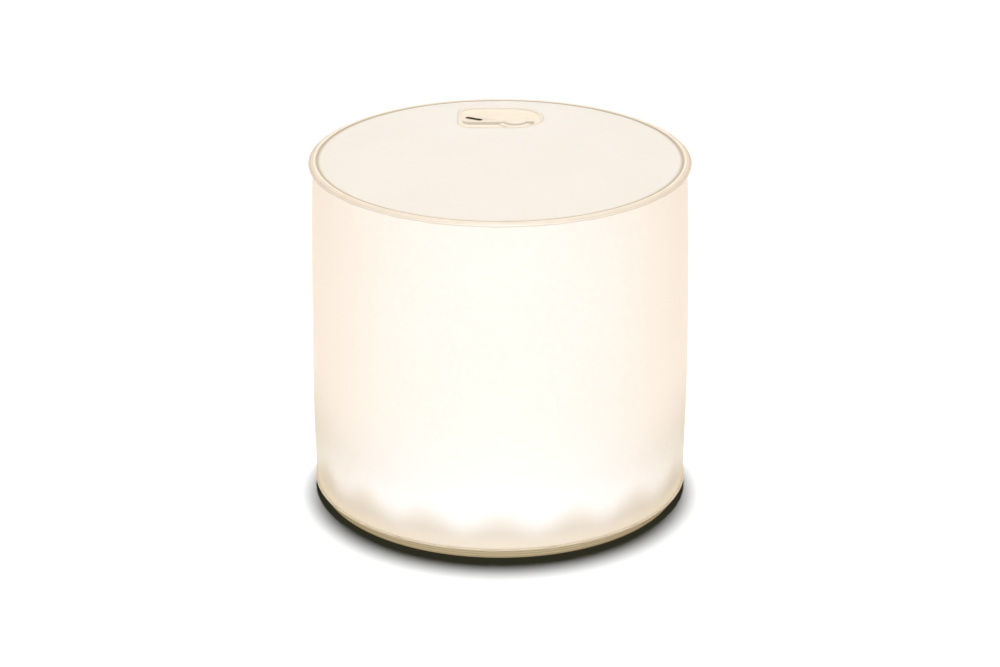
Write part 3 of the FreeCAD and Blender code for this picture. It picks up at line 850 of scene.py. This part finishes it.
cells_finish, tree, where = new_finish("silicon_strips")
apart = add(tree, "ShaderNodeSeparateXYZ", {"Vector": where}).outputs
crystal = add(tree, "ShaderNodeTexVoronoi", {"Vector": where, "Scale": 160.0}).outputs["Color"]
tone = add(tree, "ShaderNodeSeparateColor", {"Color": crystal}).outputs[0]
colour = blend_colour(tree, tone, (0.006, 0.010, 0.030, 1), (0.014, 0.022, 0.060, 1))
finger = maths(tree, "SINE", maths(tree, "MULTIPLY", apart["X"], 2 * math.pi / 0.0018))
finger = ramp(tree, finger, 0.955, 0.985)
colour = blend_colour(tree, finger, colour, (0.52, 0.52, 0.50, 1))
bump = bumped(tree, finger, 0.3, 0.00005)
sockets = {"Base Color": colour, "Roughness": ramp(tree, tone, 0.0, 1.0, 0.22, 0.34), "Normal": bump,
           "Metallic": maths(tree, "MULTIPLY", finger, 0.8), "Coat Weight": 0.4, "Coat Roughness": 0.1}
surface(tree, sockets)
dress(cells_finish, "solar_cells")


def clear_plastic(name, tint, rough, size):
    """Clear moulded plastic that lets light through to what is behind it."""
    finish, tree, where = new_finish(name)
    smear = noise(tree, where, size, 4.0)
    normal = bumped(tree, smear, 0.08, 0.0002)
    colour = blend_colour(tree, smear, (*[t * 0.96 for t in tint], 1), (*tint, 1))
    clear = add(tree, "ShaderNodeBsdfPrincipled", {
        "Base Color": colour, "Roughness": ramp(tree, smear, 0.3, 0.7, rough * 0.6, rough), "IOR": 1.49,
        "Transmission Weight": 1.0, "Normal": normal})
    shadow = add(tree, "ShaderNodeLightPath").outputs["Is Shadow Ray"]
    through = add(tree, "ShaderNodeBsdfTransparent", {"Color": (*[t * 0.94 for t in tint], 1)})
    both = add(tree, "ShaderNodeMixShader", {0: shadow, 1: clear.outputs[0], 2: through.outputs[0]})
    add(tree, "ShaderNodeOutputMaterial", {"Surface": both.outputs[0]})
    return finish


dress(clear_plastic("poured_glaze", (0.94, 0.95, 0.93), 0.10, 0.008), "solar_glaze")
dress(grained("tinned_ribbon", (0.78, 0.77, 0.74), (0.62, 0.61, 0.58), 0.002, 0.30, 0.25, Metallic=1.0),
      "cell_ribbons")

backing_finish, tree, where = new_finish("woven_backing")
apart = add(tree, "ShaderNodeSeparateXYZ", {"Vector": where}).outputs
warp = maths(tree, "SINE", maths(tree, "MULTIPLY", apart["X"], 2 * math.pi / 0.0007))
weft = maths(tree, "SINE", maths(tree, "MULTIPLY", apart["Y"], 2 * math.pi / 0.0007))
weave = maths(tree, "MULTIPLY_ADD", maths(tree, "MULTIPLY", warp, weft), 0.5, 0.5)
cloud = noise(tree, where, 0.012, 3.0)
colour = blend_colour(tree, cloud, (0.62, 0.60, 0.48, 1), (0.70, 0.68, 0.56, 1))
colour = blend_colour(tree, maths(tree, "MULTIPLY", weave, 0.3), colour, (0.50, 0.48, 0.36, 1))
bump = bumped(tree, weave, 0.35, 0.0001)
sockets = {"Base Color": colour, "Roughness": ramp(tree, weave, 0.0, 1.0, 0.42, 0.56), "Normal": bump}
surface(tree, sockets)
dress(backing_finish, "solar_backing")


# ---- leads ----
# Two thin stranded wires in soft sleeves from the panel up to the board, and two from the battery.
# Of each pair one sleeve is red and the other black, and they are soldered or crimped at their ends.

sleeve_finish, tree, where = new_finish("wire_sleeves")
apart = add(tree, "ShaderNodeSeparateXYZ", {"Vector": where}).outputs
grain = noise(tree, where, 0.0006, 3.0)
side = ramp(tree, apart["Y"], -0.0001, 0.0001)
red = blend_colour(tree, grain, (0.42, 0.025, 0.018, 1), (0.52, 0.045, 0.030, 1))
black = blend_colour(tree, grain, (0.016, 0.016, 0.017, 1), (0.030, 0.030, 0.032, 1))
colour = blend_colour(tree, side, black, red)
bump = bumped(tree, grain, 0.15, 0.00005)
sockets = {"Base Color": colour, "Roughness": ramp(tree, grain, 0.3, 0.7, 0.38, 0.5), "Normal": bump}
surface(tree, sockets)
dress(sleeve_finish, "panel_leads", "battery_leads")


# ---- foam pad ----
# A thin pad of grey open-cell foam between the panel's backing and the battery.
# The battery presses it flat, so only its cut sides swell out a little.

foam_low, foam_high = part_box("foam_pad")
foam_swell = 0.0003
foam_steps = 24
foam_faces = []
foam_sides = []
for start_x, start_y, step_x, step_y in ((-1, -1, 1, 0), (1, -1, 0, 1), (1, 1, -1, 0), (-1, 1, 0, -1)):
    for i in range(foam_steps):
        foam_sides.append((start_x + 2 * step_x * i / foam_steps, start_y + 2 * step_y * i / foam_steps))
foam_half_x = (foam_high.x - foam_low.x) / 2
foam_half_y = (foam_high.y - foam_low.y) / 2
foam_rings = []
for level, inset in ((0.0, 1.0), (0.04, 0.55), (0.22, 0.12), (0.5, 0.0),
                     (0.78, 0.12), (0.96, 0.55), (1.0, 1.0)):
    height = foam_low.z + (foam_high.z - foam_low.z) * level
    ring = []
    for along_x, along_y in foam_sides:
        ripple = 0.00006 * math.sin(9 * along_x + 5 * along_y + 11 * level)
        drawn = foam_swell * inset + 0.00006 + ripple
        ring.append((along_x * (foam_half_x - drawn), along_y * (foam_half_y - drawn), height))
    foam_rings.append(ring)
count = len(foam_sides)
foam_points = [point for ring in foam_rings for point in ring]
for level in range(len(foam_rings) - 1):
    for j in range(count):
        k = (j + 1) % count
        row = level * count
        next_row = row + count
        foam_faces.append((row + j, row + k, next_row + k, next_row + j))
foam_faces.append(tuple(range(count)))
foam_faces.append(tuple(range(len(foam_points) - 1, len(foam_points) - count - 1, -1)))
foam_piece = mesh_piece("foam_cushion", foam_points, foam_faces, 60.0)
foam_finish, tree, where = new_finish("open_cell_foam")
pores = add(tree, "ShaderNodeTexVoronoi", {"Vector": where, "Scale": 2600.0}).outputs["Distance"]
cloud = noise(tree, where, 0.006, 3.0)
colour = blend_colour(tree, cloud, (0.10, 0.10, 0.105, 1), (0.15, 0.15, 0.155, 1))
# Painted shade: the darker spots are shade in the pores, painted into the grey, which the bump also dents
# there.
colour = blend_colour(tree, ramp(tree, pores, 0.0, 0.35, 0.5, 0.0), colour, (0.03, 0.03, 0.032, 1))
bump = bumped(tree, pores, 0.6, 0.0001)
sockets = {"Base Color": colour, "Roughness": ramp(tree, pores, 0.0, 0.5, 0.95, 0.85), "Normal": bump}
surface(tree, sockets)
foam_piece.data.materials.append(foam_finish)
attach(foam_piece, "base")
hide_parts("foam_pad")


# ---- battery ----
# A flat lithium pouch in silver laminate, slightly wrinkled where it was vacuum sealed.
# Amber tape closes its top seam, and a small ivory plug joins its leads to the board.

pouch_finish, tree, where = new_finish("silver_pouch")
crumple = noise(tree, where, 0.009, 5.0, 0.6)
brushed = noise(tree, where, 0.0012, 3.0)
colour = blend_colour(tree, crumple, (0.50, 0.50, 0.51, 1), (0.66, 0.66, 0.67, 1))
total = maths(tree, "ADD", crumple, maths(tree, "MULTIPLY", brushed, 0.2))
bump = bumped(tree, total, 0.45, 0.0005)
sockets = {"Base Color": colour, "Metallic": 0.9, "Roughness": ramp(tree, brushed, 0.3, 0.7, 0.30, 0.44),
           "Normal": bump}
surface(tree, sockets)
dress(pouch_finish, "battery_cell")
dress(grained("amber_tape", (0.50, 0.24, 0.035), (0.42, 0.18, 0.022), 0.004, 0.22, 0.1, Coat_Weight=0.4),
      "battery_tape")
dress(grained("ivory_plug", (0.74, 0.70, 0.58), (0.68, 0.63, 0.50), 0.002, 0.40), "battery_connector")


# ---- circuit board ----
# A round glass-fibre board with a green mask over copper tracks, screwed in with the cover.
# A driver chip and small parts sit on top, and a coil and two switches hang below.

board_finish, tree, where = new_finish("masked_board")
tracks = add(tree, "ShaderNodeTexVoronoi", {"Vector": where, "Scale": 240.0}, distance="CHEBYCHEV",
             feature="DISTANCE_TO_EDGE").outputs["Distance"]
track = ramp(tree, tracks, 0.05, 0.09, 1.0, 0.0)
cloud = noise(tree, where, 0.008, 3.0)
colour = blend_colour(tree, cloud, (0.012, 0.105, 0.045, 1), (0.018, 0.140, 0.060, 1))
colour = blend_colour(tree, maths(tree, "MULTIPLY", track, 0.7), colour, (0.045, 0.230, 0.100, 1))
bump = bumped(tree, track, 0.4, 0.0001)
sockets = {"Base Color": colour, "Roughness": ramp(tree, cloud, 0.3, 0.7, 0.30, 0.42), "Normal": bump,
           "Coat Weight": 0.3, "Coat Roughness": 0.15}
surface(tree, sockets)
dress(board_finish, "circuit_board")
dress(grained("chip_resin", (0.020, 0.020, 0.021), (0.034, 0.034, 0.036), 0.0012, 0.50, 0.3), "control_chip")
dress(grained("pressed_ferrite", (0.050, 0.048, 0.047), (0.085, 0.080, 0.076), 0.0015, 0.62, 0.5),
      "power_inductor")

small_finish, tree, where = new_finish("fired_ceramic_parts")
kind = ramp(tree, noise(tree, where, 0.009, 0.0), 0.47, 0.53)
grain = noise(tree, where, 0.0003, 2.0)
tan = blend_colour(tree, grain, (0.34, 0.23, 0.13, 1), (0.42, 0.30, 0.18, 1))
dark = blend_colour(tree, grain, (0.025, 0.024, 0.024, 1), (0.050, 0.048, 0.046, 1))
colour = blend_colour(tree, kind, tan, dark)
bump = bumped(tree, grain, 0.3, 0.00005)
sockets = {"Base Color": colour, "Roughness": ramp(tree, grain, 0.3, 0.7, 0.40, 0.55), "Normal": bump}
surface(tree, sockets)
dress(small_finish, "chip_components")
dress(grained("switch_nylon", (0.026, 0.026, 0.027), (0.045, 0.045, 0.047), 0.002, 0.46, 0.2),
      "tact_switches", "power_plunger", "check_plunger")


# ---- lamps ----
# Sixteen small warm-white lamps stand in a ring on the board, each a white body under a yellow lens.
# The sixteen arches of their light on the wall are painted into the wall film's glow.

def glowing(name, light, dark, size, strength):
    finish, tree, where = new_finish(name)
    cloud = noise(tree, where, size, 2.0)
    colour = blend_colour(tree, cloud, (*light, 1), (*dark, 1))
    normal = bumped(tree, cloud, 0.1, 0.00005)
    sockets = {"Base Color": colour, "Roughness": ramp(tree, cloud, 0.3, 0.7, 0.25, 0.4), "Normal": normal,
               "Emission Color": colour, "Emission Strength": strength}
    surface(tree, sockets)
    return finish


dress(glowing("lit_phosphor", (1.0, 0.80, 0.50), (1.0, 0.72, 0.40), 0.001, 4.0), "white_leds")


# ---- buttons and level lights ----
# Two soft rubber buttons beside the panel work the switches through short black plungers.
# Three clear rods carry the light of the small battery level lamps down to the underside.

dress(grained("soft_button_rubber", (0.30, 0.30, 0.31), (0.24, 0.24, 0.25), 0.002, 0.62, 0.35),
      "power_button", "check_button")
dress(glowing("level_lamp", (0.25, 0.80, 0.30), (0.20, 0.70, 0.25), 0.0008, 0.6), "indicator_leds")
dress(clear_plastic("light_pipe_plastic", (0.95, 0.96, 0.95), 0.12, 0.003), "light_pipes")


# ---- housing cover ----
# The upper half of the housing, in the same warm white as the tray, held by six steel screws.
# A white sheet stuck on top throws the light up, and a clear window sits over every lamp.

dress(housing_finish, "base_cover")

screw_finish, tree, where = new_finish("plated_screw_steel")
turned = add(tree, "ShaderNodeSeparateXYZ", {"Vector": where}).outputs
thread = maths(tree, "SINE", maths(tree, "MULTIPLY", turned["Z"], 2 * math.pi / 0.0006))
scratch = noise(tree, where, 0.0005, 4.0, 0.65)
colour = blend_colour(tree, scratch, (0.50, 0.49, 0.46, 1), (0.64, 0.63, 0.60, 1))
total = maths(tree, "ADD", maths(tree, "MULTIPLY", thread, 0.6), scratch)
bump = bumped(tree, total, 0.4, 0.0001)
sockets = {"Base Color": colour, "Metallic": 1.0, "Roughness": ramp(tree, scratch, 0.3, 0.7, 0.24, 0.40),
           "Normal": bump}
surface(tree, sockets)
dress(screw_finish, "housing_screws")
dress(grained("matt_white_sheet", (0.90, 0.895, 0.87), (0.86, 0.855, 0.83), 0.006, 0.55, 0.2),
      "reflector_sheet")
dress(clear_plastic("lamp_window_plastic", (0.97, 0.96, 0.92), 0.25, 0.002), "led_windows")


# ---- studio ----
# A plain pale floor with a soft lamp high above and a little behind, which drops a short shadow in front.
# Two dimmer, cooler lamps at front and back skip the floor and the valve. No piece throws light on the
# floor or on another piece, so the shadow under the foot stays dark.

floor_mesh = bpy.data.meshes.new("floor")
floor_mesh.from_pydata([(-4, -4, 0), (4, -4, 0), (4, 4, 0), (-4, 4, 0)], [], [(0, 1, 2, 3)])
floor = bpy.data.objects.new("floor", floor_mesh)
bpy.context.scene.collection.objects.link(floor)
floor_finish, tree, where = new_finish("pale_floor")
paper = noise(tree, where, 0.01, 2.0)
colour = blend_colour(tree, paper, (0.90, 0.90, 0.90, 1), (0.92, 0.92, 0.92, 1))
shader = add(tree, "ShaderNodeBsdfDiffuse", {"Color": colour})
add(tree, "ShaderNodeOutputMaterial", {"Surface": shader.outputs[0]})
floor_mesh.materials.append(floor_finish)

surround = bpy.data.worlds.new("dim_surround")
surround.use_nodes = True
surround.node_tree.nodes["Background"].inputs["Color"].default_value = (1.0, 0.95, 0.55, 1)
surround.node_tree.nodes["Background"].inputs["Strength"].default_value = 0.03
bpy.context.scene.world = surround

for piece in bpy.context.scene.objects:
    piece.visible_diffuse = piece == floor
lit_from_sides = bpy.data.collections.new("lit_from_sides")
for number, spared in enumerate((floor, valve_plate, pull_stem, cap_piece, slot_shade_bar)):
    lit_from_sides.objects.link(spared)
    lit_from_sides.collection_objects[number].light_linking.link_state = "EXCLUDE"
for name, place, size, depth, watts, colour, spares_floor in (
        ("overhead_lamp", (0.0, 0.53, 8.0), 0.75, 0.95, 800.0, (1.0, 1.0, 1.0), False),
        ("front_lamp", (0.0, -1.7, 0.55), 0.7, 0.7, 34.0, (0.60, 0.73, 1.0), True),
        ("back_lamp", (0.0, 1.7, 0.55), 0.7, 0.7, 34.0, (0.60, 0.73, 1.0), True)):
    lamp_data = bpy.data.lights.new(name, "AREA")
    lamp_data.shape = "ELLIPSE"
    lamp_data.size = size
    lamp_data.size_y = depth
    lamp_data.energy = watts
    lamp_data.color = colour
    lamp = bpy.data.objects.new(name, lamp_data)
    lamp.location = place
    aim = Vector((0, 0, 0.05)) - Vector(place)
    lamp.rotation_euler = aim.to_track_quat("-Z", "Y").to_euler()
    bpy.context.scene.collection.objects.link(lamp)
    if spares_floor:
        lamp.light_linking.receiver_collection = lit_from_sides
        lamp.visible_glossy = False

camera_data = bpy.data.cameras.new("camera")
camera_data.lens = 110.6
camera_data.sensor_width = 36.0
camera_data.clip_start = 0.01
camera = bpy.data.objects.new("camera", camera_data)
camera.location = (0.0, -0.9399, 0.4441)
camera.rotation_euler = (math.radians(90.0 - 22.58), 0.0, 0.0)
bpy.context.scene.collection.objects.link(camera)
bpy.context.scene.camera = camera

bpy.context.scene.view_settings.view_transform = "Standard"
